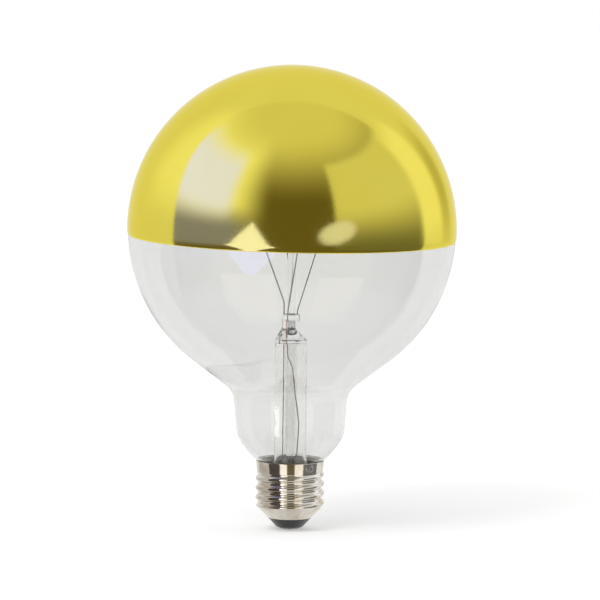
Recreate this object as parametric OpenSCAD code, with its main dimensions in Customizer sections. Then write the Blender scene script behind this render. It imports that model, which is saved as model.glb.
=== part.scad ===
// Gold-crowned globe lamp: a clear blown globe whose top half is a gold mirror,
// a pressed glass stem that carries the filament, and an E27 round-thread lamp cap.
// Millimetres, +Z towards the crown, origin on the lamp's axis at the centre contact.

/* [Globe] */
// Outside diameter over the mirrored crown
globe_d = 125; // [110:0.5:130]
// Height of the globe's centre above the centre contact
globe_z = 114.5; // [108:0.5:125]
// Glass wall
glass_wall = 0.7; // [0.4:0.05:1.2]
// Angle from the axis of the cone between globe and neck
cone_angle = 52.9; // [48:0.1:58]
// Radius of the hollow where the cone meets the neck
neck_fillet = 9.1; // [5:0.1:14]
// Neck diameter at its middle
neck_d = 42; // [39:0.1:45]
// Height of the neck's middle above the cap
neck_rise = 16.9; // [15:0.1:20]
// Taper of the neck, from the axis
neck_taper = 4.3; // [1:0.1:7]
// Radius of the neck's lower corner
shoulder_r = 8; // [5:0.1:10]
// Height of that corner's centre above the cap
shoulder_rise = 12.3; // [11:0.1:14]
// Radius of the curve from the corner to the cap
waist_r = 27; // [22:0.5:40]
// Gap between the glass and the cap's rim
rim_gap = 0.12; // [0.1:0.01:0.4]
// Radius inside the rim where the neck turns down to the seal
seal_fillet = 2.2; // [1.5:0.1:3]
// Depth of the sealed end below the cap's rim
seal_depth = 5.5; // [4.5:0.1:6.5]
// Room between the sealed end and the thread's root, for cement and a lead
seal_gap = 0.6; // [0.55:0.05:0.8]

/* [Crown mirror] */
// Thickness of the mirror and its gold lacquer
mirror_film = 0.25; // [0.1:0.05:0.5]
// Room for the bond between the mirror and the glass
mirror_gap = 0.1; // [0.08:0.01:0.2]
// Depth of the mirror's edge below the globe's centre
mirror_drop = 3; // [0:0.1:12]
// Tilt of the mirror's edge, lower to the right
mirror_tilt = 1; // [0:0.1:3]

/* [Stem] */
// Outside diameter of the stem tube
stem_d = 12.1; // [11:0.1:13]
// Wall of the stem tube
stem_wall = 0.9; // [0.6:0.05:1.1]
// Radius of the flare
flare_r = 12; // [9:0.1:14]
// Height of the press's foot above the cap
press_rise = 46; // [40:0.5:52]
// Width of the press
press_w = 8.2; // [7.6:0.1:9.4]
// Thickness of the press
press_t = 4.2; // [4:0.1:5]
// Height of the press and its bead
press_h = 10; // [9:0.1:12]
// Diameter of the bead on the press
bead_d = 7; // [6.8:0.1:8]
// Height of the bead
bead_h = 3; // [2.5:0.1:3.6]
// Turn of the press about the axis
press_turn = -65; // [-75:1:-55]
// Outside diameter of the exhaust tube
exhaust_d = 4.4; // [3.6:0.1:4.8]
// Bore of the exhaust tube
exhaust_bore = 2.4; // [2:0.1:2.8]
// Height of the exhaust tube's sealed tip above the centre contact
exhaust_tip_z = 12.5; // [11:0.1:16]
// Hole blown through the shoulder into the globe
vent_d = 1.8; // [1.2:0.1:2]
// Diameter of the glass rod above the press
rod_d = 3; // [2.4:0.1:3.4]
// Diameter of the button on the rod
button_d = 5.2; // [4.6:0.1:6.4]
// Height of the button
button_h = 2.6; // [2:0.1:3.2]

/* [Wires] */
// Diameter of the wires sealed in the press and of the inner leads
lead_d = 0.5; // [0.4:0.05:0.7]
// Diameter of the bare leads below the press
tail_d = 0.4; // [0.3:0.05:0.45]
// Diameter of the support and anchor wires
support_d = 0.4; // [0.3:0.05:0.5]
// Height of the filament above the globe's centre
filament_rise = 3.5; // [-5:0.5:10]
// Radius of the filament's ring
filament_r = 14.2; // [11:0.1:18]
// Diameter of the coiled filament
filament_d = 0.6; // [0.4:0.05:0.8]
// Depth of the anchors' button below the filament
button_drop = 5.2; // [4:0.1:8]
// Turn of the wires' star about the axis
star_turn = 15.4; // [5:0.1:25]
// Straight rise of the left lead above the press
left_rise = 4.4; // [1:0.1:6]

/* [Screw cap] */
// Major diameter of the thread
thread_d = 26.2; // [26.05:0.05:26.45]
// Depth of the rolled thread
thread_depth = 0.95; // [0.8:0.05:1.1]
// Pitch of the thread
thread_pitch = 3.63; // [3.4:0.01:3.8]
// Height of a crest on the +X side
thread_phase_z = 14.1; // [12.3:0.1:15.9]
// Height of the whole cap
cap_h = 26.4; // [25.5:0.1:27.5]
// Height of the collar above the thread
collar_h = 3.8; // [3.4:0.1:5]
// Outside diameter of the collar at its rim
rim_d = 26.04; // [25.8:0.02:26.3]
// Outside diameter of the collar where the thread begins
rim_foot_d = 25.24; // [25:0.02:25.5]
// Sheet thickness of the shell
sheet = 0.35; // [0.2:0.05:0.45]
// Outside diameter of the shell's lower lip
lip_d = 16.6; // [15:0.1:17.4]
// Height of the shell's lower lip
lip_z = 4.6; // [4:0.1:5.2]
// Height where the shell's cone would reach the collar's foot
cone_top_z = 8.9; // [8:0.1:9.8]
// Diameter of the contact plate
contact_d = 8; // [6.6:0.1:8.4]
// Thickness of the contact plate
contact_t = 0.35; // [0.3:0.05:0.5]
// Height of the insulator's bottom face
insulator_z = 0.75; // [0.6:0.05:0.9]
// Diameter of the insulator where its bottom corner begins
insulator_d = 10.6; // [10.2:0.1:11.4]
// Bore of the insulator and diameter of the contact's tube
eyelet_d = 3; // [2.6:0.1:3.6]
// Bore of the contact's tube
eyelet_bore = 2.2; // [1.8:0.1:2.4]
// Depth of the side solder below the rim
side_drop = 1.8; // [1.75:0.05:2.1]
// Diameter of the ball that the side solder is part of
side_ball_d = 4.2; // [3.4:0.1:4.4]
// Where the side solder sits, about the axis
side_turn = -54; // [-70:1:-40]

/* [Hidden] */
$fn = 96;

// Room between pieces that only lie against each other, and round a wire sealed in glass
play = 0.05;
skin = 0.01;
// Angle step along a rounded outline, and along the globe's
arc_step = 5;
globe_step = 2.5;
// Sides of the rolled shell, and how far a flat between them lies inside the circle
shell_sides = 48;
flat_share = cos(180 / shell_sides);
// Sides of a bent wire
wire_sides = 8;

// Heights along the axis
neck_z = cap_h + neck_rise;
shoulder_z = cap_h + shoulder_rise;
thread_top_z = cap_h - collar_h;
seal_z = cap_h - seal_depth;
exit_z = cap_h - side_drop;
press_z = cap_h + press_rise;
press_top = press_z + press_h;
filament_z = globe_z + filament_rise;
button_z = filament_z - button_drop;

// Radii of the cap's inside, of its narrowest place, and of the sealed glass that passes it
root_r = thread_d / 2 - thread_depth;
root_in_r = root_r - sheet;
throat_r = min(root_r, rim_foot_d / 2, rim_d / 2) - sheet;
seal_r = throat_r - seal_gap;
stem_bore_r = stem_d / 2 - stem_wall;

// Unit vector along v
function unit(v) = v / norm(v);
// Point at radius r, angle a and height z about the axis
function around(r, a, z) = [r * cos(a), r * sin(a), z];
// Normal of an outline that leans by a from the axis, pointing out and down
function normal(a) = [cos(a), -sin(a)];
// Points along an arc about c, inset by t: r is its radius, negative where the outline is hollow
function arc(c, r, a0, a1, t, step = arc_step) =
    let (n = ceil(abs(a1 - a0) / step))
    [for (i = [0:n]) c + (r - t) * normal(a0 + (a1 - a0) * i / n)];
// Where the two lines na.p = da and nb.p = db meet
function meet(na, da, nb, db) =
    let (w = na[0] * nb[1] - na[1] * nb[0])
    [(da * nb[1] - db * na[1]) / w, (na[0] * db - nb[0] * da) / w];
// Point at distance ra from a and rb from b, on the left of the way from a to b
function apex(a, ra, b, rb) =
    let (d = norm(b - a),
         x = (ra * ra - rb * rb + d * d) / (2 * d),
         y = sqrt(ra * ra - x * x),
         u = (b - a) / d)
    a + x * u + y * [u[1], -u[0]];

// Outline of the glass: sphere, cone, hollow, neck, corner, waist and seal, each tangent
// to the one before it. The waist passes the cap's rim with rim_gap to spare.
glass_r = globe_d / 2 - mirror_film - mirror_gap;
globe_c = [0, globe_z];
cone_start = globe_c + glass_r * normal(cone_angle);
cone_line = normal(cone_angle) * cone_start;
neck_line = normal(neck_taper) * [neck_d / 2, neck_z];
fillet_c = meet(normal(cone_angle), cone_line + neck_fillet,
                normal(neck_taper), neck_line + neck_fillet);
shoulder_c = [(neck_line - shoulder_r + sin(neck_taper) * shoulder_z) / cos(neck_taper), shoulder_z];
rim_point = [rim_d / 2 - sheet - rim_gap, cap_h];
waist_c = apex(shoulder_c, waist_r - shoulder_r, rim_point, waist_r);
waist_top = atan2(waist_c[1] - shoulder_c[1], shoulder_c[0] - waist_c[0]);
waist_foot = atan2(waist_c[1] - rim_point[1], rim_point[0] - waist_c[0]);
rim_line = normal(waist_foot) * rim_point;
seal_c = meet(normal(waist_foot), rim_line + seal_fillet, [1, 0], seal_r + seal_fillet);

// Outline of the glass below its widest point, inset by t
function lower_outline(t) = concat(
    arc(globe_c, glass_r, 0, cone_angle, t, globe_step),
    arc(fillet_c, -neck_fillet, cone_angle, neck_taper, t),
    arc(shoulder_c, shoulder_r, neck_taper, waist_top, t),
    arc(waist_c, waist_r, waist_top, waist_foot, t),
    arc(seal_c, -seal_fillet, waist_foot, 0, t),
    [[seal_r - t, seal_z]]);

module glass_globe() {
    inside = lower_outline(glass_wall);
    color("azure", 0.3)
    union() {
        translate([0, 0, globe_z])
        difference() {
            sphere(r = glass_r);
            sphere(r = glass_r - glass_wall);
            translate([-globe_d, -globe_d, -globe_d])
            cube([2 * globe_d, 2 * globe_d, globe_d]);
        }
        rotate_extrude()
        polygon(concat(lower_outline(0), [for (i = [len(inside) - 1:-1:0]) inside[i]]));
    }
}

module gold_crown() {
    color("gold")
    translate([0, 0, globe_z])
    difference() {
        sphere(d = globe_d);
        sphere(r = glass_r + mirror_gap);
        rotate([0, mirror_tilt, 0])
        translate([-globe_d, -globe_d, -mirror_drop - globe_d])
        cube([2 * globe_d, 2 * globe_d, globe_d]);
    }
}

// Path with its inner corners rounded, each bend starting at most reach before its corner
function rounded(path, reach) = concat(
    [path[0]],
    [for (i = [1:len(path) - 2])
        let (back = path[i - 1] - path[i],
             ahead = path[i + 1] - path[i],
             cut = min(reach, norm(back) * 0.45, norm(ahead) * 0.45),
             enter = path[i] + cut * unit(back),
             leave = path[i] + cut * unit(ahead))
        for (t = [0:0.25:1])
            (1 - t) * (1 - t) * enter + 2 * t * (1 - t) * path[i] + t * t * leave],
    [path[len(path) - 1]]);

// Round wire along a smooth path, its rings turned as little as possible from one to the next
module wire(path, d) {
    n = len(path);
    along = [for (i = [0:n - 1]) unit(path[min(i + 1, n - 1)] - path[max(i - 1, 0)])];
    first = cross(along[0], abs(along[0][0]) < 0.9 ? [1, 0, 0] : [0, 1, 0]);
    across = [for (i = 0, v = unit(first); i < n;
                   i = i + 1, v = i < n ? unit(v - (v * along[i]) * along[i]) : v) v];
    points = [for (i = [0:n - 1]) for (k = [0:wire_sides - 1])
        let (a = 360 * k / wire_sides)
        path[i] + d / 2 * (cos(a) * across[i] + sin(a) * cross(along[i], across[i]))];
    walls = [for (i = [0:n - 2]) for (k = [0:wire_sides - 1]) for (half = [0, 1])
        let (a = i * wire_sides + k,
             b = i * wire_sides + (k + 1) % wire_sides)
        half == 0 ? [a, a + wire_sides, b] : [b, a + wire_sides, b + wire_sides]];
    ends = [[for (k = [0:wire_sides - 1]) k],
            [for (k = [wire_sides - 1:-1:0]) (n - 1) * wire_sides + k]];
    polyhedron(points, concat(walls, ends));
}

// Straight hole for a wire of diameter d at a place seen from above, from z0 to z1
module wire_hole(place, z0, z1, d) {
    translate(concat(place, z0)) cylinder(d = d, h = z1 - z0);
}

// Rounded disc from the axis out to diameter d
module rounded_disc(d, h, r) {
    rotate_extrude()
    polygon(concat(
        [[0, 0]],
        arc([d / 2 - r, r], r, 90, 0, 0),
        arc([d / 2 - r, h - r], r, 0, -90, 0),
        [[0, h]]));
}

// Glass floor that closes the stem tube, and the shoulder where it was squeezed flat
floor_t = 1.2;
shoulder_h = 3.4;
// Sealed wires reach this far below the press, and stop this far below the bead's top
weld_z = press_z - 3.6;
seal_top = press_top - 1.4;
// Depth of the supports' sockets in the bead
root_depth = 2;
// Straight rise of a wire out of the bead
short_rise = 1.2;
// How far before a corner a wire begins to bend, which is less than its straight rise
lead_bend = 1.1;

// Where each wire stands in the press, seen from above
foot_left = [-2.75, 0.6];
foot_front = [-1.3, -2.45];
root_back = [1.35, 2.2];
root_right = [2.3, -0.3];

// Corners of the filament, in the star that the four long wires make
turn_left = star_turn + 180;
turn_front = star_turn - 90;
turn_back = star_turn + 90;
turn_right = star_turn;
function corner(a) = around(filament_r, a, filament_z);

// Flat of the press, from height z
module press_slab(z, h) {
    edge = press_t / 2;
    off_axis = 0.9;
    translate([0, 0, z])
    rotate([0, 0, press_turn])
    translate([0, -off_axis, 0])
    hull()
    for (s = [-1, 1])
        translate([s * (press_w / 2 - edge), 0, 0])
        cylinder(r = edge, h = h, $fn = 32);
}

module stem_tube() {
    flare_angle = -acos((stem_d / 2 + flare_r - seal_r) / flare_r);
    rim_t = 1.7;
    lap = 0.8;
    flare_c = [stem_d / 2 + flare_r, seal_z - lap + flare_r * sin(-flare_angle)];
    vent_lean = 50;
    bead_round = 0.9;
    color("azure", 0.4)
    difference() {
        union() {
            rotate_extrude()
            union() {
                polygon(concat(
                    [[0, press_z], [stem_d / 2, press_z]],
                    arc(flare_c, -flare_r, 0, flare_angle, 0),
                    arc(flare_c, -flare_r, flare_angle, 0, stem_wall),
                    [[stem_bore_r, press_z - floor_t], [0, press_z - floor_t]]));
                translate([seal_r - rim_t, seal_z - rim_t]) square([rim_t, rim_t]);
            }
            hull() {
                translate([0, 0, press_z - floor_t]) cylinder(d = stem_d, h = floor_t, $fn = 32);
                press_slab(press_z + shoulder_h, lap);
            }
            press_slab(press_z + shoulder_h, press_h - bead_h - shoulder_h + lap);
            translate([0, 0, press_top - bead_h]) rounded_disc(bead_d, bead_h, bead_round);
        }
        translate([0, 0, press_z - 2])
        rotate([0, vent_lean, press_turn + 90])
        cylinder(d = vent_d, h = stem_d);
        wire_hole(foot_left, weld_z, press_top + 1, lead_d + 2 * skin);
        wire_hole(foot_front, weld_z, press_top + 1, lead_d + 2 * skin);
        wire_hole(root_back, press_top - root_depth, press_top + 1, support_d + 2 * skin);
        wire_hole(root_right, press_top - root_depth, press_top + 1, support_d + 2 * skin);
    }
}

module exhaust_tube() {
    tip_z = exhaust_tip_z + exhaust_d / 2;
    color("azure", 0.4)
    difference() {
        union() {
            translate([0, 0, tip_z]) cylinder(d = exhaust_d, h = press_z - floor_t - tip_z);
            translate([0, 0, tip_z]) sphere(d = exhaust_d);
        }
        translate([0, 0, tip_z]) cylinder(d = exhaust_bore, h = press_z);
    }
}

// Anchors stand in the button this deep, at half its height
socket = 1.4;
anchor_z = button_z + button_h / 2;
// Angle of the middle of each span of filament
function span_turn(i) = star_turn + 135 - 90 * (i - 1);

module arbor_rod() {
    button_round = 0.8;
    color("azure", 0.4)
    difference() {
        union() {
            translate([0, 0, press_top]) cylinder(d = rod_d, h = anchor_z - press_top);
            translate([0, 0, button_z]) rounded_disc(button_d, button_h, button_round);
        }
        for (i = [1:3])
            translate(around(button_d / 2 - socket, span_turn(i), anchor_z))
            rotate([0, 90, span_turn(i)])
            cylinder(d = support_d + 2 * skin, h = button_d);
    }
}

// Copper-clad wire sealed through the press
module seal_wire(foot) {
    color("peru")
    wire_hole(foot, weld_z, seal_top, lead_d);
}

// Nickel wire from the press to the filament, with the sleeve that grips the filament's end
crimp_l = 1.2;
crimp_gap = 0.03;
crimp_wall = 0.27;
module inner_lead(foot, rise, tip, next) {
    toward = unit(next - tip);
    bore_r = filament_d / 2 + crimp_gap;
    color("silver")
    union() {
        wire(rounded([concat(foot, seal_top), concat(foot, press_top + rise),
                      tip - [0, 0, bore_r + crimp_wall / 2]], lead_bend), lead_d);
        translate(tip)
        rotate([0, 90, atan2(toward[1], toward[0])])
        rotate_extrude()
        translate([bore_r, -crimp_l / 2]) square([crimp_wall, crimp_l]);
    }
}

// Eye that a support or anchor wire makes round the filament
eye_gap = 0.15;
eye_r = filament_d / 2 + eye_gap + support_d / 2;
eye_run = 1.5;
function eye(centre, out) =
    let (up = [0, 0, 1],
         advance = (support_d + eye_gap) * cross(up, out))
    [for (a = [30:30:300]) centre + eye_r * (sin(a) * up - cos(a) * out) + advance * a / 360];

// Distance before a corner at which the filament begins to bend
filament_bend = 1.5;

// Molybdenum wire from the bead to a corner of the filament
module support(root, turn) {
    out = around(1, turn, 0);
    centre = corner(turn) - out * filament_bend * cos(45) / 2;
    start = centre - out * eye_r;
    color("dimgray")
    wire(concat(
        rounded([concat(root, press_top - root_depth), concat(root, press_top + short_rise),
                 start - [0, 0, eye_run], start], lead_bend),
        eye(centre, out)), support_d);
}

// Short wire from the button to the middle of a span of filament
module anchor(i) {
    turn = span_turn(i);
    out = around(1, turn, 0);
    centre = around(filament_r * cos(45), turn, filament_z);
    start = centre - out * eye_r;
    color("dimgray")
    wire(concat(
        rounded([around(button_d / 2 - socket, turn, anchor_z),
                 around(button_d / 2 + 1, turn, anchor_z),
                 start - [0, 0, eye_run], start], lead_bend / 2),
        eye(centre, out)), support_d);
}

// Coiled tungsten in three spans, shown at the coil's outer diameter
module filament() {
    first = unit(corner(turn_back) - corner(turn_left));
    last = unit(corner(turn_front) - corner(turn_right));
    color("gray")
    wire(rounded([corner(turn_left) - first * crimp_l / 2, corner(turn_back),
                  corner(turn_right), corner(turn_front) + last * crimp_l / 2],
                 filament_bend), filament_d);
}

// Straight stretch of a bare lead below its sealed wire
tail_run = 2;

// Bare lead from the left seal wire down to the solder of the centre contact
solder_top_z = 2;
module contact_lead() {
    beside = [-2.9, 0.6];
    flare_room = 5;
    fall = 0.5;
    entry_z = insulator_top_z + fall;
    color("darkgray")
    wire(rounded([concat(foot_left, weld_z), concat(foot_left, weld_z - tail_run),
                  concat(beside, seal_z + flare_room), concat(beside, exhaust_tip_z + fall),
                  [0, 0, entry_z], [0, 0, solder_top_z]], lead_bend), tail_d);
}

// Bare lead from the front seal wire, round the flare's rim and out through the collar. It rises
// beside the sealed glass, leans out below the neck and goes straight through the wall.
lead_poke = 0.5;
module shell_lead() {
    side = [cos(side_turn), sin(side_turn)];
    bow_drop = 10;
    bow_low = 6;
    flare_room = 6;
    under_z = seal_z - 3;
    route_r = seal_r + seal_gap / 2;
    lean_z = min(exit_z, seal_c[1]) - tail_d / 2;
    color("darkgray")
    wire(rounded([concat(foot_front, weld_z), concat(foot_front, weld_z - tail_run),
                  [0.6, -3.1, press_z - bow_drop],
                  [3.1, -2.9, (press_z + seal_z) / 2 - bow_low],
                  [2.3, -2.9, seal_z + flare_room], [2.3, -3.1, under_z],
                  concat(side * route_r, under_z), concat(side * route_r, lean_z),
                  concat(side * (rim_r(exit_z) - sheet - tail_d), exit_z),
                  concat(side * (rim_r(exit_z) + lead_poke), exit_z)], lead_bend), tail_d);
}

// Radius of the rolled thread, a fraction u of a pitch from its crest: two equal arcs
roll_lean = 2 * atan(2 * thread_depth / thread_pitch);
roll_r = thread_pitch / 4 / sin(roll_lean);
function roll(u) =
    let (x = min(abs(u), 0.5 - abs(u)) * thread_pitch,
         fall = roll_r - sqrt(roll_r * roll_r - x * x))
    thread_d / 2 - (abs(u) < 0.25 ? fall : thread_depth - fall);
// Fraction of a pitch from the nearest crest, at angle a and height z
function phase(a, z) =
    let (p = (z - thread_phase_z) / thread_pitch - a / 360)
    p - round(p);
// Outside radius of the shell's lower cone and of its collar
cone_slope = (rim_foot_d - lip_d) / 2 / (cone_top_z - lip_z);
function cone_r(z) = lip_d / 2 + (z - lip_z) * cone_slope;
// Height where the cone is as wide as the thread's root
root_z = lip_z + (root_r - lip_d / 2) / cone_slope;
function rim_r(z) = rim_foot_d / 2 + (z - thread_top_z) * (rim_d - rim_foot_d) / 2 / collar_h;
// Outside radius of the shell: cone, thread that runs out under the collar, collar
run_out_h = thread_pitch / 2;
function shell_r(a, z) =
    let (run_out = min(1, (thread_top_z - z) / run_out_h))
    z >= thread_top_z ? rim_r(z)
    : min(cone_r(z), rim_foot_d / 2 + (roll(phase(a, z)) - rim_foot_d / 2) * run_out);

module screw_shell() {
    rows_a_pitch = 8;
    n = ceil((thread_top_z - root_z) / thread_pitch * rows_a_pitch);
    rows = concat([lip_z], [for (i = [0:n]) root_z + (thread_top_z - root_z) * i / n], [cap_h]);
    last = len(rows) - 1;
    up_outside = [for (z = rows) [0, z]];
    down_inside = [for (k = [0:last]) [sheet, rows[last - k]]];
    rings = concat(up_outside, down_inside);
    count = len(rings);
    points = [for (ring = rings) for (i = [0:shell_sides - 1])
        let (a = 360 * i / shell_sides)
        around(shell_r(a, ring[1]) - ring[0], a, ring[1])];
    faces = [for (k = [0:count - 1]) for (i = [0:shell_sides - 1]) for (half = [0, 1])
        let (a = k * shell_sides + i,
             b = k * shell_sides + (i + 1) % shell_sides,
             up = (k + 1) % count * shell_sides)
        half == 0 ? [a, up + i, b] : [b, up + i, up + (i + 1) % shell_sides]];
    color("gainsboro")
    difference() {
        polyhedron(points, faces);
        side_hole(tail_d + 2 * play, rim_d);
    }
}

// Hole along the side lead's last stretch, from the axis out to radius r
module side_hole(d, r) {
    translate([0, 0, exit_z])
    rotate([0, 90, side_turn])
    cylinder(d = d, h = r);
}

module side_solder() {
    sink = side_ball_d * 0.28;
    low_z = exit_z - side_ball_d;
    high_z = exit_z + side_ball_d;
    color("lightgray")
    difference() {
        translate(around(rim_r(exit_z) - sink, side_turn, exit_z)) sphere(d = side_ball_d);
        translate([0, 0, low_z])
        cylinder(r1 = rim_r(low_z), r2 = rim_r(high_z), h = high_z - low_z);
        translate([-rim_d, -rim_d, cap_h - play]) cube([2 * rim_d, 2 * rim_d, side_ball_d]);
        side_hole(tail_d + 2 * skin, rim_r(exit_z) + lead_poke);
    }
}

module cement_ring() {
    foot_z = seal_z - 2.2;
    top_z = cap_h - 0.5;
    lip = 0.5;
    channel = tail_d + 2 * play;
    in_r = seal_r - lip;
    color("olive")
    difference() {
        rotate_extrude()
        difference() {
            polygon([
                [in_r, foot_z],
                [root_in_r * flat_share - play, foot_z],
                [root_in_r * flat_share - play, thread_top_z - run_out_h],
                [(rim_r(thread_top_z) - sheet) * flat_share - play, thread_top_z],
                [(rim_r(top_z) - sheet) * flat_share - play, top_z],
                [in_r, top_z]]);
            polygon(concat([[0, foot_z - 1], [0, globe_z]], lower_outline(0),
                           [[seal_r, foot_z - 1]]));
        }
        rotate([0, 0, side_turn])
        translate([in_r - 1, -channel / 2, 0])
        cube([rim_d, channel, 2 * cap_h]);
    }
}

// Black glass moulded into the shell's lower end, up to a little below the thread's first root
insulator_room = 0.43;
insulator_top_z = root_z - insulator_room;
contact_proud = 0.2;
contact_z = insulator_z - contact_proud;
module insulator() {
    seat = play + sheet;
    corner_w = 0.8;
    corner_h = 0.5;
    color([0.16, 0.16, 0.16])
    difference() {
        rotate_extrude()
        polygon([
            [eyelet_d / 2, insulator_top_z],
            [eyelet_d / 2, insulator_z],
            [insulator_d / 2 - corner_w, insulator_z],
            [insulator_d / 2, insulator_z + corner_h],
            [lip_d / 2, lip_z - play],
            [(cone_r(lip_z) - seat) * flat_share, lip_z - play],
            [(cone_r(insulator_top_z) - seat) * flat_share, insulator_top_z]]);
        translate([0, 0, insulator_z - 1])
        cylinder(d = contact_d + 2 * play, h = 1 - contact_proud + contact_t);
    }
}

module contact_eyelet() {
    tube_h = 4;
    color("silver")
    difference() {
        union() {
            translate([0, 0, contact_z]) cylinder(d = contact_d, h = contact_t);
            translate([0, 0, contact_z]) cylinder(d = eyelet_d, h = tube_h);
        }
        translate([0, 0, contact_z - 1]) cylinder(d = eyelet_bore, h = tube_h + 2);
    }
}

module solder_tip() {
    blob_d = 4.6;
    flat_d = 2.6;
    color("lightgray")
    union() {
        cylinder(d1 = flat_d, d2 = blob_d, h = contact_z);
        cylinder(d = eyelet_bore, h = solder_top_z);
    }
}

glass_globe();
gold_crown();
stem_tube();
exhaust_tube();
arbor_rod();
seal_wire(foot_left);  // seal_wire_left
seal_wire(foot_front);  // seal_wire_front
inner_lead(foot_left, left_rise, corner(turn_left), corner(turn_back));  // inner_lead_left
inner_lead(foot_front, short_rise, corner(turn_front), corner(turn_right));  // inner_lead_front
contact_lead();
shell_lead();
support(root_back, turn_back);  // support_back
support(root_right, turn_right);  // support_right
anchor(1);  // anchor_1
anchor(2);  // anchor_2
anchor(3);  // anchor_3
filament();
screw_shell();
insulator();
contact_eyelet();
solder_tip();
side_solder();
cement_ring();
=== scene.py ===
import math

import bpy
import numpy as np
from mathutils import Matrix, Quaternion, Vector


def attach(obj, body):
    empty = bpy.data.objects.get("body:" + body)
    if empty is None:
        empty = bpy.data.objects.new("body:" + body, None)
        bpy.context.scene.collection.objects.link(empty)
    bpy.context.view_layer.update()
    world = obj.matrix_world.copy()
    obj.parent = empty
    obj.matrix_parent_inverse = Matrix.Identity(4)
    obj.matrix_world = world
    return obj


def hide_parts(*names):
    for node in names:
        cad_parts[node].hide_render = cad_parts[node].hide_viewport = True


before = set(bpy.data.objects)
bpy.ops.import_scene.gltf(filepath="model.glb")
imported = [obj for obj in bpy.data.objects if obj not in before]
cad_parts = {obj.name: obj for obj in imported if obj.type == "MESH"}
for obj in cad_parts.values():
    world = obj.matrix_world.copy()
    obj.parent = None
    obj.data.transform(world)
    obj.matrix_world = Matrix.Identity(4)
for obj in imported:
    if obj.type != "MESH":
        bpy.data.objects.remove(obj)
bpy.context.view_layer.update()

# Camera: a long lens 2.2 m away and six degrees above the lamp's middle. The lamp leans half a
# degree clockwise in the picture, so the camera rolls by as much.
cam_distance = 2.2
cam_rise = math.radians(6)
cam_roll = math.radians(0.49)
cam_aim = Vector((0.00326, 0, 0.0877))
half_frame = 0.1138
camera = bpy.data.objects.new("camera", bpy.data.cameras.new("camera"))
bpy.context.scene.collection.objects.link(camera)
cam_back = Vector((0, -math.cos(cam_rise), math.sin(cam_rise)))
camera.data.angle = 2 * math.atan(half_frame / cam_distance)
camera.location = cam_aim + cam_distance * cam_back
camera.rotation_mode = "QUATERNION"
camera.rotation_quaternion = (-cam_back).to_track_quat("-Z", "Y") @ Quaternion((0, 0, 1), cam_roll)
bpy.context.scene.camera = camera
bpy.context.scene.view_settings.view_transform = "Standard"

# Studio: a white sweep behind the lamp, a darker room in front of it with a bright ceiling, a pale
# wall on the right, a cool window on the left and two softboxes. Only reflections see the room: the
# camera and the clear glass see white, and matt surfaces get an even soft light.
world =bpy.data.worlds.new("studio")
bpy.context.scene.world = world
world.cycles.sampling_method = "NONE"
world.use_nodes = True
sky = world.node_tree
sky.nodes.clear()


def add(tree, kind, inputs=None, **settings):
    """Adds a node with its settings. An input that is given another node's socket is linked to it."""
    node = tree.nodes.new("ShaderNode" + kind)
    for name, value in settings.items():
        setattr(node, name, value)
    for name, value in (inputs or {}).items():
        if isinstance(value, bpy.types.NodeSocket):
            tree.links.new(value, node.inputs[name])
        else:
            node.inputs[name].default_value = value
    return node


toward = add(sky, "SeparateXYZ", {0: add(sky, "TexCoord").outputs["Generated"]})
front = add(sky, "Math", {0: toward.outputs["Y"], 1: -1.0}, operation="MULTIPLY").outputs[0]
turn = add(sky, "Math", {0: toward.outputs["X"], 1: front}, operation="ARCTAN2").outputs[0]
turn = add(sky, "Math", {0: turn}, operation="DEGREES").outputs[0]
rise = add(sky, "Math", {0: toward.outputs["Z"]}, operation="ARCSINE").outputs[0]
rise = add(sky, "Math", {0: rise}, operation="DEGREES").outputs[0]


def window(turns, rises, soft):
    """Mask of a rectangle of directions: the product of a smooth step up at each low edge and a smooth
    step down at each high edge, as wide as soft says."""
    mask = 1.0
    for value, (low, high), width in ((turn, turns, soft[0]), (rise, rises, soft[1])):
        for edge, before, after in ((low, 0, 1), (high, 1, 0)):
            side = add(sky, "MapRange", {"Value": value, "From Min": edge - width / 2,
                                         "From Max": edge + width / 2, "To Min": before, "To Max": after},
                       interpolation_type="SMOOTHSTEP")
            mask = add(sky, "Math", {0: mask, 1: side.outputs[0]}, operation="MULTIPLY").outputs[0]
    return mask


def softbox(centre, half, roll, power, edge):
    """Mask of |x| ** power + |y| ** power < 1, a diamond at 1 and an ellipse at 2, where x and y run from
    the centre to the half sizes and are rolled by some degrees."""
    place = add(sky, "CombineXYZ", {0: turn, 1: rise}).outputs[0]
    place = add(sky, "Mapping", {"Vector": place, "Location": (*centre, 0), "Scale": (*half, 1),
                                 "Rotation": (0, 0, math.radians(roll))}, vector_type="TEXTURE").outputs[0]
    place = add(sky, "VectorMath", {0: place}, operation="ABSOLUTE").outputs[0]
    place = add(sky, "SeparateXYZ", {0: place})
    x, y = (add(sky, "Math", {0: place.outputs[way], 1: power}, operation="POWER").outputs[0]
            for way in ("X", "Y"))
    total = add(sky, "Math", {0: x, 1: y}).outputs[0]
    return add(sky, "MapRange", {"Value": total, "From Min": 1 - edge, "From Max": 1 + edge,
                                 "To Min": 1, "To Max": 0}, interpolation_type="SMOOTHSTEP").outputs[0]


def cover(under, *layers):
    """Lays each colour over what is there, where its mask is 1."""
    for mask, colour in layers:
        under = add(sky, "Mix", {0: mask, 6: under, 7: colour}, data_type="RGBA").outputs[2]
    return under


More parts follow.
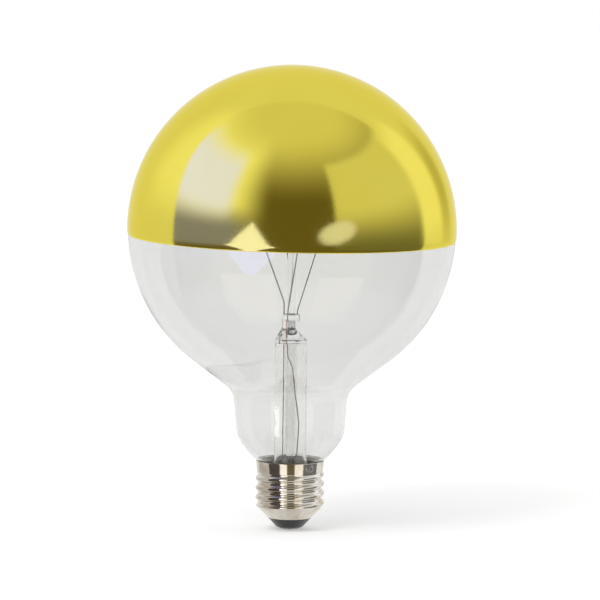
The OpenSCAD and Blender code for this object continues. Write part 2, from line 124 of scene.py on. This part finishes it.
# Places are directions from the lamp in degrees: the turn from the camera's side and the rise above
# the level. Colours of light are levels, where 1 is white.
ceiling = add(sky, "MapRange", {"Value": rise, "From Min": 22, "From Max": 72},
              interpolation_type="SMOOTHSTEP").outputs[0]
table_glow = add(sky, "MapRange", {"Value": rise, "From Min": -42, "From Max": -24,
                                   "To Min": 1, "To Max": 0},
                 interpolation_type="SMOOTHSTEP").outputs[0]
wall_level = add(sky, "MapRange", {"Value": rise, "From Min": -8, "From Max": 19,
                                   "To Min": 0.19, "To Max": 0.83},
                 interpolation_type="SMOOTHSTEP").outputs[0]
right_wall = add(sky, "CombineColor", {0: wall_level, 1: wall_level, 2: wall_level}).outputs[0]
left_haze = window((-128, -30), (10, 62), (30, 24))
haze_colour = (1.1, 1.12, 1.15, 1)
room = cover((0.155, 0.13, 0.07, 1),
             (ceiling, (0.84, 0.83, 0.77, 1)),
             (table_glow, (0.74, 0.73, 0.71, 1)),
             (left_haze, haze_colour),
             (window((-110, -36), (-12, 12), (26, 20)), (0.29, 0.31, 1.2, 1)),
             (window((-110, -46), (13, 50), (14, 18)), (1.0, 1.12, 5.6, 1)),
             (window((31, 118), (-20, 49), (5, 6)), right_wall))
# The room opens to the sweep where Y is 0.27, and further forward on the far left: there the edge
# moves by 0.26 times the fourth power of the way to the left.
leftward = add(sky, "Math", {0: toward.outputs["X"], 1: -1.0}, operation="MULTIPLY").outputs[0]
leftward = add(sky, "Math", {0: leftward, 1: 0.0}, operation="MAXIMUM").outputs[0]
leftward = add(sky, "Math", {0: leftward, 1: 4.0}, operation="POWER").outputs[0]
opening = add(sky, "Math", {0: leftward, 1: 0.26, 2: toward.outputs["Y"]},
              operation="MULTIPLY_ADD").outputs[0]
in_room = add(sky, "MapRange", {"Value": opening, "From Min": 0.29, "From Max": 0.25},
              interpolation_type="SMOOTHSTEP").outputs[0]
bright_strip = window((104, 129), (-4, 44), (9, 18))
grey_streak = window((132, 146), (-4, 24), (9, 20))
oval_softbox = softbox((32, 2.5), (13.5, 7), 14, 2, 0.5)
diamond_softbox = softbox((-29.5, -10.5), (18.5, 20), -6, 1, 0.05)
rays = add(sky, "LightPath").outputs
straight = add(sky, "Math", {0: rays["Is Camera Ray"], 1: rays["Is Transmission Ray"]},
               operation="MAXIMUM").outputs[0]
shade = cover((0.9, 0.9, 0.88, 1),
              (left_haze, haze_colour),
              (in_room, room),
              (bright_strip, (1.12, 1.12, 1.2, 1)),
              (grey_streak, (0.64, 0.62, 0.52, 1)),
              (oval_softbox, (0.9, 0.93, 2.4, 1)),
              (diamond_softbox, (1.25, 1.3, 3.7, 1)),
              (rays["Is Diffuse Ray"], (0.92, 0.92, 0.92, 1)),
              (straight, (1, 1, 1, 1)))
glow = add(sky, "Background", {"Color": shade, "Strength": 1.0})
add(sky, "OutputWorld", {"Surface": glow.outputs[0]})

# Floor: pale matt paper, which keeps the lamp's soft shadow and can't be seen from below. A little
# light of its own, for the camera and through glass alone, brings it up to white.
floor_half = 6.0
fill_level = 0.27


def linear(code):
    """Linear colour of an sRGB hex code: c / 12.92 up to 0.04045, ((c + 0.055) / 1.055) ** 2.4 above."""
    c = np.array([int(code[i:i + 2], 16) for i in (1, 3, 5)]) / 255
    return (*np.where(c <= 0.04045, c / 12.92, ((c + 0.055) / 1.055) ** 2.4), 1.0)


paper =bpy.data.materials.new("matt white paper")
paper.use_nodes = True
tree = paper.node_tree
tree.nodes.clear()
matt = add(tree, "BsdfDiffuse", {"Color": linear("#E7E7E7")})
rays = add(tree, "LightPath").outputs
seen = add(tree, "Math", {0: rays["Is Camera Ray"], 1: rays["Is Transmission Ray"]}, operation="MAXIMUM")
fill = add(tree, "Emission", {"Color": (fill_level, fill_level, fill_level, 1), "Strength": seen.outputs[0]})
both = add(tree, "AddShader", {0: matt.outputs[0], 1: fill.outputs[0]})
clear = add(tree, "BsdfTransparent")
below = add(tree, "NewGeometry").outputs["Backfacing"]
one_sided = add(tree, "MixShader", {0: below, 1: both.outputs[0], 2: clear.outputs[0]})
add(tree, "OutputMaterial", {"Surface": one_sided.outputs[0]})
floor_mesh = bpy.data.meshes.new("floor")
floor_corners = [(x * floor_half, y * floor_half, 0) for x, y in ((-1, -1), (1, -1), (1, 1), (-1, 1))]
floor_mesh.from_pydata(floor_corners, [], [(0, 1, 2, 3)])
floor_mesh.materials.append(paper)
floor = bpy.data.objects.new("floor", floor_mesh)
floor.visible_glossy = False
bpy.context.scene.collection.objects.link(floor)

# Studio lamp above and left of the camera: a large soft one that gives matt surfaces some shape.
key_size = 0.9
key_watts = 14
key_place = Vector((-0.9, -1.1, 1.5))
key = bpy.data.objects.new("soft lamp", bpy.data.lights.new("soft lamp", "AREA"))
key.data.size = key_size
key.data.energy = key_watts
key.location = key_place
key.rotation_mode = "QUATERNION"
key.rotation_quaternion = (key_place - cam_aim).to_track_quat("Z", "Y")
key.visible_camera = key.visible_glossy = key.visible_transmission = False
bpy.context.scene.collection.objects.link(key)

# Low cards that the crown can't see from the front: two flags keep the blue window off the cap,
# cream ones put the bands on its thread, and a small bright one puts the white drop on the neck.
# The visor hides the bright one from the globe.
flag_reach, flag_foot, flag_head = 0.036, -0.05, 0.056
card_points = 13


def card(name, turns, reach, foot, head, level):
    """Upright card that only reflections see, bent round the lamp between two turns in degrees: the
    points (reach sin turn, -reach cos turn, z), with z at the foot and at the head."""
    a = np.radians(np.linspace(*turns, card_points))
    rim = np.stack([reach * np.sin(a), -reach * np.cos(a)], 1)
    points = np.vstack([np.column_stack([rim, np.full(len(a), z)]) for z in (foot, head)])
    k = np.arange(len(a) - 1)
    mesh = bpy.data.meshes.new(name)
    mesh.from_pydata(points.tolist(), [], np.stack([k, k + 1, k + 1 + len(a), k + len(a)], 1).tolist())
    lit = bpy.data.materials.new(name)
    lit.use_nodes = True
    lit.node_tree.nodes.clear()
    light = add(lit.node_tree, "Emission", {"Color": (*level, 1)})
    add(lit.node_tree, "OutputMaterial", {"Surface": light.outputs[0]})
    mesh.materials.append(lit)
    made = bpy.data.objects.new(name, mesh)
    made.visible_camera = made.visible_diffuse = made.visible_transmission = made.visible_shadow = False
    bpy.context.scene.collection.objects.link(made)


card("brown flag", (-65, -29), flag_reach, flag_foot, flag_head, (0.09, 0.078, 0.068))
card("grey flag", (-116, -65), flag_reach, flag_foot, flag_head, (0.62, 0.605, 0.58))
card("left cream card", (-43, -10), 0.15, -0.09, 0.06, (1.3, 1.24, 1.1))
card("right cream card", (16, 45), 0.15, -0.09, 0.055, (1.2, 1.15, 1.02))
card("drop card", (-31.5, -21.5), 0.148, -0.006, 0.0145, (5.5, 5.45, 5.3))
card("cream visor", (-43, -10), 0.12, 0.02, 0.05, (1.3, 1.24, 1.1))

# Globe: one piece of clear soda-lime glass, blown in a mould and polished by the flame, with a
# wall of 0.7 mm. Its neck narrows in a waist and turns down into the cap, where it is sealed.
# Sizes of all pieces are in millimetres, and angles of outlines in degrees.
mm = 0.001
globe_r, globe_z, glass_wall = 62.15, 114.5, 0.7
cone_angle, neck_fillet = 52.9, 9.1
neck_r, neck_z, neck_taper = 21.0, 43.3, 4.3
shoulder_r, shoulder_z = 8.0, 38.7
waist_r, cap_h = 27.0, 26.4
rim_in_r, seal_fillet = 12.55, 2.2
seal_r, seal_z = 11.2, 20.9
top_lean, lean_step, globe_sides = -89, 1.2, 180
same_point = 0.01


def normal(lean):
    """Direction out of an outline that leans by that many degrees from the axis: (cos, -sin)."""
    return np.stack([np.cos(np.radians(lean)), -np.sin(np.radians(lean))], -1)


def arc(centre, radius, start, end):
    """Points centre + radius * normal(lean) from start to end. A negative radius bends the outline in."""
    leans = np.linspace(start, end, int(abs(end - start) / lean_step) + 2)
    return np.asarray(centre) + radius * normal(leans)


def meet(lean_a, reach_a, lean_b, reach_b):
    """Point whose distances along the two normals are the two reaches."""
    return np.linalg.solve([normal(lean_a), normal(lean_b)], [reach_a, reach_b])


def apex(a, reach_a, b, reach_b):
    """Point at the two reaches from a and b, beside the way from a to b: a + along * way + side * across,
    where along = (reach_a ** 2 - reach_b ** 2 + far ** 2) / (2 far)."""
    way = b - a
    far = np.linalg.norm(way)
    along = (reach_a ** 2 - reach_b ** 2 + far ** 2) / (2 * far)
    side = math.sqrt(reach_a ** 2 - along ** 2)
    way = way / far
    return a + along * way + side * np.array([way[1], -way[0]])


def turned(name, grid, start=None, end=None, ring=False):
    """Mesh of a grid of points whose columns close round the piece. Each row joins the next, ring
    joins the last row to the first, and start and end are single points that close the open ends."""
    rows, cols = grid.shape[:2]
    index = np.arange(rows * cols).reshape(rows, cols)
    down = np.vstack([index, index[:1]]) if ring else index
    beside = np.roll(down, -1, axis=1)
    faces = np.stack([down[:-1], down[1:], beside[1:], beside[:-1]], -1).reshape(-1, 4).tolist()
    points = grid.reshape(-1, 3)
    for tip, row, side in ((start, index[0], 1), (end, index[-1], -1)):
        if tip is not None:
            pole = np.full(cols, len(points))
            points = np.vstack([points, tip])
            faces += np.stack([pole, row, np.roll(row, -1)][::side], -1).tolist()
    mesh = bpy.data.meshes.new(name)
    mesh.from_pydata((points * mm).tolist(), [], faces)
    mesh.polygons.foreach_set("use_smooth", np.ones(len(faces), bool))
    return mesh


def revolved(profile, sides):
    """Grid of the points (r cos a, r sin a, z) for each (r, z) of the profile and each angle a."""
    a = np.linspace(0, 2 * np.pi, sides, endpoint=False)
    r, z = profile[:, :1], profile[:, 1:]
    return np.stack([r * np.cos(a), r * np.sin(a), z + 0 * a], -1)


def piece(name, mesh, material, slot, *nodes):
    """Shows a mesh in place of CAD nodes, on the lamp's one body, with the material. The slot is not used.
    """
    mesh.materials.append(material)
    made = bpy.data.objects.new(name, mesh)
    bpy.context.scene.collection.objects.link(made)
    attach(made, "root")
    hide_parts(*nodes)


cone_start = np.array([0, globe_z]) + globe_r * normal(cone_angle)
cone_line = normal(cone_angle) @ cone_start
neck_line = normal(neck_taper) @ np.array([neck_r, neck_z])
fillet_c = meet(cone_angle, cone_line + neck_fillet, neck_taper, neck_line + neck_fillet)
lean_in = math.radians(neck_taper)
shoulder_x = (neck_line - shoulder_r + math.sin(lean_in) * shoulder_z) / math.cos(lean_in)
shoulder_c = np.array([shoulder_x, shoulder_z])
rim_point = np.array([rim_in_r, cap_h])
waist_c = apex(shoulder_c, waist_r - shoulder_r, rim_point, waist_r)
waist_top = math.degrees(math.atan2(waist_c[1] - shoulder_c[1], shoulder_c[0] - waist_c[0]))
waist_foot = math.degrees(math.atan2(waist_c[1] - rim_point[1], rim_point[0] - waist_c[0]))
seal_c = meet(waist_foot, normal(waist_foot) @ rim_point + seal_fillet, 0, seal_r + seal_fillet)


def glass_outline(inset):
    """Sphere, cone, hollow, neck, corner, waist and seal, each tangent to the one before it. Arcs that
    share an end give that point once."""
    points = np.vstack([
        arc((0, globe_z), globe_r - inset, top_lean, cone_angle),
        arc(fillet_c, -neck_fillet - inset, cone_angle, neck_taper),
        arc(shoulder_c, shoulder_r - inset, neck_taper, waist_top),
        arc(waist_c, waist_r - inset, waist_top, waist_foot),
        arc(seal_c, -seal_fillet - inset, waist_foot, 0),
        [[seal_r - inset, seal_z]]])
    steps = np.linalg.norm(np.diff(points, axis=0), axis=1)
    return points[np.append(True, steps > same_point)]


clear_glass = bpy.data.materials.new("clear soda-lime glass")
clear_glass.use_nodes = True
tree = clear_glass.node_tree
glass = tree.nodes["Principled BSDF"]
glass.inputs["Base Color"].default_value = linear("#ECECEB")
glass.inputs["Roughness"].default_value = 0.0
glass.inputs["IOR"].default_value = 1.52
glass.inputs["Transmission Weight"].default_value = 1.0
# Blown glass is never quite even: slow and shallow waves bend what is seen through it.
wave_l, wave_h = 35.7, 0.6
place = add(tree, "TexCoord").outputs["Object"]
waves = add(tree, "TexNoise", {"Vector": place, "Scale": 1 / (wave_l * mm), "Detail": 1.0})
bend = add(tree, "Bump", {"Height": waves.outputs[0], "Strength": 0.15, "Distance": wave_h * mm})
tree.links.new(bend.outputs[0], glass.inputs["Normal"])

outside, inside = glass_outline(0), glass_outline(glass_wall)
wall_profile = np.vstack([outside, inside[::-1]])
globe_top = globe_z + globe_r
globe_mesh = turned("glass_globe_blown", revolved(wall_profile, globe_sides),
                    start=(0, 0, globe_top), end=(0, 0, globe_top - glass_wall))
piece("glass_globe_blown", globe_mesh, clear_glass, "clear_glass", "glass_globe")

# Crown: a mirror over the top half of the globe, gold from its tinted lacquer, with a thin clear
# gloss coat. It was sprayed against a mask, so it thins out over the last millimetres to a fine edge.
crown_r, film, mirror_gap = 62.5, 0.25, 0.1
mirror_drop, mirror_tilt = 3.0, math.radians(1)
# The last of these is the width in millimetres of the painted highlight along the crown's lower edge.
feather, edge_share, edge_highlight_w = 2.4, 0.12, 0.9
edge_band, edge_rows, crown_sides = 3, 12, 256
edge_lean = math.degrees(math.asin(mirror_drop / crown_r))
leans = np.concatenate([np.arange(top_lean, edge_lean - edge_band, lean_step),
                        np.linspace(edge_lean - edge_band, edge_lean, edge_rows)])
from_edge = np.radians(edge_lean - leans) * crown_r
thick = film * (edge_share + (1 - edge_share) * np.sin(np.pi / 2 * np.minimum(1, from_edge / feather)))
inner_r = globe_r + mirror_gap
film_out = (inner_r + thick)[:, None] * normal(leans)
film_in = inner_r * normal(leans)
crown_grid = revolved(np.vstack([film_out, film_in[::-1]]), crown_sides)
crown_poles = np.array([[0, 0, crown_r], [0, 0, inner_r]])
tilt = np.array([[math.cos(mirror_tilt), 0, math.sin(mirror_tilt)], [0, 1, 0],
                 [-math.sin(mirror_tilt), 0, math.cos(mirror_tilt)]])
lift = np.array([0, 0, globe_z])
crown_grid = crown_grid @ tilt.T + lift
crown_poles = crown_poles @ tilt.T + lift

gold = bpy.data.materials.new("gold-lacquered mirror, clear gloss coat")
gold.use_nodes = True
tree = gold.node_tree
mirror = tree.nodes["Principled BSDF"]
place = add(tree, "TexCoord").outputs["Object"]
# Lacquer a little thicker in soft clouds; a painted highlight lightens and yellows the gold along the lower
# edge.
cloud_w = 25.0
clouds = add(tree, "TexNoise", {"Vector": place, "Scale": 1 / (cloud_w * mm), "Detail": 2.0})
tint = add(tree, "Mix", {0: clouds.outputs[0], 6: linear("#E0CF4E"), 7: linear("#E7D85B")}, data_type="RGBA")
height = add(tree, "VectorMath", {0: place, 1: (math.sin(mirror_tilt), 0, math.cos(mirror_tilt))},
             operation="DOT_PRODUCT")
edge_height = (globe_z * math.cos(mirror_tilt) - mirror_drop) * mm
# Painted highlight: lighter, yellower gold in a band just above the mirror's lower edge.
line = add(tree, "MapRange", {"Value": height.outputs["Value"], "From Min": edge_height,
                              "From Max": edge_height + edge_highlight_w * mm, "To Min": 1, "To Max": 0},
           interpolation_type="SMOOTHSTEP")
tint = add(tree, "Mix", {0: line.outputs[0], 6: tint.outputs[2], 7: linear("#F3E56A")}, data_type="RGBA")
tree.links.new(tint.outputs[2], mirror.inputs["Base Color"])
mirror.inputs["Metallic"].default_value = 1.0
mirror.inputs["Specular Tint"].default_value = linear("#FDF6BC")
# Spray grain is finer than shows, so it is drawn 0.91 mm wide. It makes the gold satin under the coat.
grain_w, grain_h = 0.91, 0.03
grain = add(tree, "TexNoise", {"Vector": place, "Scale": 1 / (grain_w * mm), "Detail": 3.0})
satin = add(tree, "MapRange", {"Value": grain.outputs[0], "From Min": 0.3, "From Max": 0.7,
                               "To Min": 0.07, "To Max": 0.13})
tree.links.new(satin.outputs[0], mirror.inputs["Roughness"])
grit = add(tree, "Bump", {"Height": grain.outputs[0], "Strength": 0.12, "Distance": grain_h * mm})
tree.links.new(grit.outputs[0], mirror.inputs["Normal"])
mirror.inputs["Coat Weight"].default_value = 0.12
mirror.inputs["Coat Roughness"].default_value = 0.02
crown_mesh = turned("gold_crown_mirror", crown_grid, start=crown_poles[0], end=crown_poles[1])
piece("gold_crown_mirror", crown_mesh, gold, "gold_mirror", "gold_crown")

# Stem, exhaust tube and rod: clear lead glass, drawn as tube and pressed hot round the wires, so it
# has short soft waves and a faint olive cast where the glass is thick.
press_wave_l, press_wave_h = 4.55, 0.4
stem_glass = bpy.data.materials.new("clear lead glass, pressed")
stem_glass.use_nodes = True
tree = stem_glass.node_tree
glass = tree.nodes["Principled BSDF"]
glass.inputs["Base Color"].default_value = linear("#FDFDFC")
glass.inputs["Roughness"].default_value = 0.0
glass.inputs["IOR"].default_value = 1.56
glass.inputs["Transmission Weight"].default_value = 1.0
place = add(tree, "TexCoord").outputs["Object"]
waves = add(tree, "TexNoise", {"Vector": place, "Scale": 1 / (press_wave_l * mm), "Detail": 1.0})
bend = add(tree, "Bump", {"Height": waves.outputs[0], "Strength": 0.25, "Distance": press_wave_h * mm})
tree.links.new(bend.outputs[0], glass.inputs["Normal"])


def dress(material, *nodes):
    """Gives CAD nodes their finished material."""
    for node in nodes:
        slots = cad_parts[node].data.materials
        slots.clear()
        slots.append(material)


dress(stem_glass, "stem_tube", "exhaust_tube", "arbor_rod")


# Wires: copper-clad wire turned red in the seal, nickel leads, tarnished bare tails down the stem,
# and grey molybdenum supports. All are drawn bare, and heat and handling leave them spotted.
def mottled_metal(name, light, dark, roughness, spot):
    """Metal whose colour and polish drift between two tones, in spots of the given millimetres."""
    material = bpy.data.materials.new(name)
    material.use_nodes = True
    tree = material.node_tree
    metal = tree.nodes["Principled BSDF"]
    place = add(tree, "TexCoord").outputs["Object"]
    spots = add(tree, "TexNoise", {"Vector": place, "Scale": 1 / (spot * mm), "Detail": 2.0})
    tone = add(tree, "Mix", {0: spots.outputs[0], 6: linear(dark), 7: linear(light)}, data_type="RGBA")
    tree.links.new(tone.outputs[2], metal.inputs["Base Color"])
    rough = add(tree, "MapRange", {"Value": spots.outputs[0], "From Min": 0.3, "From Max": 0.7,
                                   "To Min": roughness, "To Max": roughness + 0.12})
    tree.links.new(rough.outputs[0], metal.inputs["Roughness"])
    metal.inputs["Metallic"].default_value = 1.0
    return material


copper_clad = mottled_metal("copper-clad wire, oxidised red", "#C8614A", "#8E3A2B", 0.35, 2)
dress(copper_clad, "seal_wire_left", "seal_wire_front")
nickel_wire = mottled_metal("nickel wire, drawn", "#A9A59C", "#7C776E", 0.28, 3)
dress(nickel_wire, "inner_lead_left", "inner_lead_front")
bare_wire = mottled_metal("bare lead wire, tarnished", "#8A7660", "#57493A", 0.35, 4)
dress(bare_wire, "contact_lead", "shell_lead")
molybdenum = mottled_metal("molybdenum wire, drawn", "#83807C", "#5C5957", 0.3, 3)
dress(molybdenum, "support_back", "support_right", "anchor_1", "anchor_2", "anchor_3")

# Filament: tungsten wire wound into a fine coil and hung in three spans between the four long
# wires. The turns are drawn at a pitch of 0.2 mm, coarser than real ones, so that they show.
star_turn, filament_r, filament_z = 15.4, 14.2, 118.0
corner_reach, crimp_l = 1.5, 1.2
coil_r, coil_wire_r, coil_pitch = 0.245, 0.055, 0.2
turn_points, wire_sides, bend_points = 14, 6, 9
corner_turns = np.radians(star_turn + np.array([180, 90, 0, -90]))
corners = filament_r * np.stack([np.cos(corner_turns), np.sin(corner_turns)], 1)


def rounded(path, reach):
    """Path whose inner corners are the curves (1 - t) ** 2 * a + 2 * t * (1 - t) * corner + t ** 2 * b,
    where a and b are at reach before and after the corner."""
    ways = np.diff(path, axis=0)
    ways /= np.linalg.norm(ways, axis=1)[:, None]
    t = np.linspace(0, 1, bend_points)[:, None]
    bends = [(1 - t) ** 2 * (p - reach * back) + 2 * t * (1 - t) * p + t ** 2 * (p + reach * ahead)
             for p, back, ahead in zip(path[1:-1], ways[:-1], ways[1:])]
    return np.vstack([path[:1], *bends, path[-1:]])


# The coil's centre line runs flat through the four corners, half a crimp past the first and the last.
first = (corners[1] - corners[0]) / np.linalg.norm(corners[1] - corners[0])
last = (corners[3] - corners[2]) / np.linalg.norm(corners[3] - corners[2])
span_start = corners[0] - first * crimp_l / 2
span_end = corners[3] + last * crimp_l / 2
span = rounded(np.vstack([span_start, corners[1:3], span_end]), corner_reach)
run = np.concatenate([[0], np.cumsum(np.linalg.norm(np.diff(span, axis=0), axis=1))])
s = np.linspace(0, run[-1], int(run[-1] / coil_pitch * turn_points))
centre = np.stack([np.interp(s, run, span[:, 0]), np.interp(s, run, span[:, 1])], 1)
ahead = np.gradient(centre, axis=0)
ahead /= np.linalg.norm(ahead, axis=1)[:, None]
out = np.stack([ahead[:, 1], -ahead[:, 0], 0 * s], 1)
up = np.array([0, 0, 1])
# The wire winds round it: centre + coil_r (cos wind * out + sin wind * up), a turn for each pitch.
wind = 2 * np.pi * s / coil_pitch
radial = np.cos(wind)[:, None] * out + np.sin(wind)[:, None] * up
coil = np.column_stack([centre, np.full(len(s), filament_z)]) + coil_r * radial
tangent = np.gradient(coil, axis=0)
tangent /= np.linalg.norm(tangent, axis=1)[:, None]
across = np.cross(tangent, radial)
round_wire = np.linspace(0, 2 * np.pi, wire_sides, endpoint=False)
coil_grid = (coil[:, None] + coil_wire_r * (np.cos(round_wire)[:, None] * radial[:, None]
                                            + np.sin(round_wire)[:, None] * across[:, None]))
coil_mesh = turned("filament_coil", coil_grid[:, ::-1], start=coil[0], end=coil[-1])
tungsten = mottled_metal("tungsten wire, coiled", "#6E6C6A", "#46444A", 0.4, 1)
piece("filament_coil", coil_mesh, tungsten, "tungsten_coil", "filament")

# Screw shell: 0.35 mm sheet, drawn into a cup, its round thread rolled in, and nickel plated. The
# thread runs out under the collar, and the collar takes the neck's foot and its cement.
thread_r, thread_depth, thread_pitch, thread_phase_z = 13.1, 0.95, 3.63, 14.1
thread_top_z, rim_r, rim_foot_r, sheet = 22.6, 13.02, 12.62, 0.35
lip_r, lip_z, cone_top_z, cone_blend = 8.3, 4.6, 8.9, 0.25
roll_lean = 2 * math.atan(2 * thread_depth / thread_pitch)
roll_r = thread_pitch / 4 / math.sin(roll_lean)
cone_slope = (rim_foot_r - lip_r) / (cone_top_z - lip_z)


def shell_r(a, z):
    """Outside radius at angle a (degrees) and height z. The thread is two equal arcs of radius roll_r, a
    crest and a root, that rise by a pitch each turn. Below it is a cone and above it the collar."""
    p = (z - thread_phase_z) / thread_pitch - a / 360
    u = np.abs(p - np.round(p))
    x = np.minimum(u, 0.5 - u) * thread_pitch
    fall = roll_r - np.sqrt(roll_r ** 2 - x ** 2)
    roll = thread_r - np.where(u < 0.25, fall, thread_depth - fall)
    out_run = np.clip((thread_top_z - z) / (thread_pitch / 2), 0, 1)
    out_run = out_run * out_run * (3 - 2 * out_run)
    thread = rim_foot_r + (roll - rim_foot_r) * out_run
    cone = lip_r + (z - lip_z) * cone_slope
    h = np.clip(0.5 + 0.5 * (thread - cone) / cone_blend, 0, 1)
    body = thread * (1 - h) + cone * h - cone_blend * h * (1 - h)
    collar = rim_foot_r + (z - thread_top_z) * (rim_r - rim_foot_r) / (cap_h - thread_top_z)
    return np.where(z >= thread_top_z, collar, body)


# The grid goes up the outside, over the rim, down the inside with a third of the rows, and round
# the lip. Both edges are rounded, half as high as half circles.
shell_sides, thread_rows, collar_rows, inner_share = 240, 170, 14, 3
a = np.linspace(0, 360, shell_sides, endpoint=False)
z_out = np.concatenate([np.linspace(lip_z, thread_top_z, thread_rows),
                        np.linspace(thread_top_z, cap_h, collar_rows)[1:]])
z_in = z_out[::-inner_share]
half_circle = np.linspace(0, np.pi, 6)[1:-1]
r_out = shell_r(a[None], z_out[:, None])
r_in = shell_r(a[None], z_in[:, None]) - sheet
rim_round = np.stack([shell_r(a, cap_h) - sheet / 2 * (1 - np.cos(t)) for t in half_circle])
lip_round = np.stack([shell_r(a, lip_z) - sheet / 2 * (1 + np.cos(t)) for t in half_circle])
round_rise = sheet / 4 * np.sin(half_circle)
radii = np.vstack([r_out, rim_round, r_in, lip_round])
heights = np.concatenate([z_out, cap_h + round_rise, z_in, lip_z - round_rise])
turns = np.radians(a)
shell_grid = np.stack([radii * np.cos(turns), radii * np.sin(turns), heights[:, None] + 0 * a], -1)

nickel = bpy.data.materials.new("nickel-plated sheet, rolled")
nickel.use_nodes = True
tree = nickel.node_tree
metal = tree.nodes["Principled BSDF"]
place = add(tree, "TexCoord").outputs["Object"]
# Plating with warm stains, and rolling lines round the shell that are 25 times as long as they are
# wide up the axis.
stain_w, line_l, line_stretch, line_h = 6.25, 7.7, 25, 0.04
stains = add(tree, "TexNoise", {"Vector": place, "Scale": 1 / (stain_w * mm), "Detail": 3.0})
stained = add(tree, "MapRange", {"Value": stains.outputs[0], "From Min": 0.35, "From Max": 0.7},
              interpolation_type="SMOOTHSTEP")
tone = add(tree, "Mix", {0: stained.outputs[0], 6: linear("#E4E0D9"), 7: linear("#CFC5B6")},
           data_type="RGBA")
tree.links.new(tone.outputs[2], metal.inputs["Base Color"])
metal.inputs["Metallic"].default_value = 1.0
squeeze = add(tree, "Mapping", {"Vector": place, "Scale": (1, 1, line_stretch)})
lines = add(tree, "TexNoise", {"Vector": squeeze.outputs[0], "Scale": 1 / (line_l * mm), "Detail": 2.0})
polish = add(tree, "MapRange", {"Value": lines.outputs[0], "From Min": 0.3, "From Max": 0.7,
                                "To Min": 0.06, "To Max": 0.15})
tree.links.new(polish.outputs[0], metal.inputs["Roughness"])
rolled = add(tree, "Bump", {"Height": lines.outputs[0], "Strength": 0.2, "Distance": line_h * mm})
tree.links.new(rolled.outputs[0], metal.inputs["Normal"])
shell_mesh = turned("screw_shell_rolled", shell_grid[::-1], ring=True)
piece("screw_shell_rolled", shell_mesh, nickel, "nickel_shell", "screw_shell")

# Insulator: black glass moulded hot into the shell's lower end. It is glossy, with a faint orange
# peel from the mould.
peel_w, peel_h = 1.11, 0.1
black_glass = bpy.data.materials.new("black glass, moulded")
black_glass.use_nodes = True
tree = black_glass.node_tree
glass = tree.nodes["Principled BSDF"]
place = add(tree, "TexCoord").outputs["Object"]
peel = add(tree, "TexNoise", {"Vector": place, "Scale": 1 / (peel_w * mm), "Detail": 2.0})
tone = add(tree, "Mix", {0: peel.outputs[0], 6: linear("#18181A"), 7: linear("#2C2C2E")}, data_type="RGBA")
tree.links.new(tone.outputs[2], glass.inputs["Base Color"])
glass.inputs["Roughness"].default_value = 0.3
ripple = add(tree, "Bump", {"Height": peel.outputs[0], "Strength": 0.3, "Distance": peel_h * mm})
tree.links.new(ripple.outputs[0], glass.inputs["Normal"])
dress(black_glass, "insulator")


# Centre contact: a stamped plate with a tube, closed by a drop of tin solder. The side lead is
# soldered to the collar the same way, and both drops set with a dull, uneven skin.
def bumpy_metal(name, light, dark, roughness, spot, bump_h):
    """Mottled metal with a skin of bumps, which are spot / 0.7 wide and bump_h high in millimetres."""
    material = mottled_metal(name, light, dark, roughness, spot)
    tree = material.node_tree
    place = add(tree, "TexCoord").outputs["Object"]
    bumps = add(tree, "TexNoise", {"Vector": place, "Scale": 0.7 / (spot * mm), "Detail": 3.0})
    skin = add(tree, "Bump", {"Height": bumps.outputs[0], "Strength": 0.5, "Distance": bump_h * mm})
    tree.links.new(skin.outputs[0], tree.nodes["Principled BSDF"].inputs["Normal"])
    return material


tinned_brass = bumpy_metal("tinned brass plate, stamped", "#C9C3B4", "#A39B88", 0.3, 1.5, 0.03)
dress(tinned_brass, "contact_eyelet")
solder = bumpy_metal("tin solder, cast", "#B2B1AE", "#6F6D6A", 0.34, 1.2, 0.12)
dress(solder, "solder_tip", "side_solder")

# Cement: yellow-green basing cement, pasted between the neck and the collar and baked hard. It is
# matt and grainy.
sand_w, sand_h = 0.714, 0.2
cement = bpy.data.materials.new("basing cement, baked")
cement.use_nodes = True
tree = cement.node_tree
paste = tree.nodes["Principled BSDF"]
place = add(tree, "TexCoord").outputs["Object"]
sand = add(tree, "TexNoise", {"Vector": place, "Scale": 1 / (sand_w * mm), "Detail": 4.0})
tone = add(tree, "Mix", {0: sand.outputs[0], 6: linear("#8A8528"), 7: linear("#B5AD48")}, data_type="RGBA")
tree.links.new(tone.outputs[2], paste.inputs["Base Color"])
paste.inputs["Roughness"].default_value = 0.9
rough = add(tree, "Bump", {"Height": sand.outputs[0], "Strength": 0.6, "Distance": sand_h * mm})
tree.links.new(rough.outputs[0], paste.inputs["Normal"])
dress(cement, "cement_ring")

bpy.context.view_layer.update()
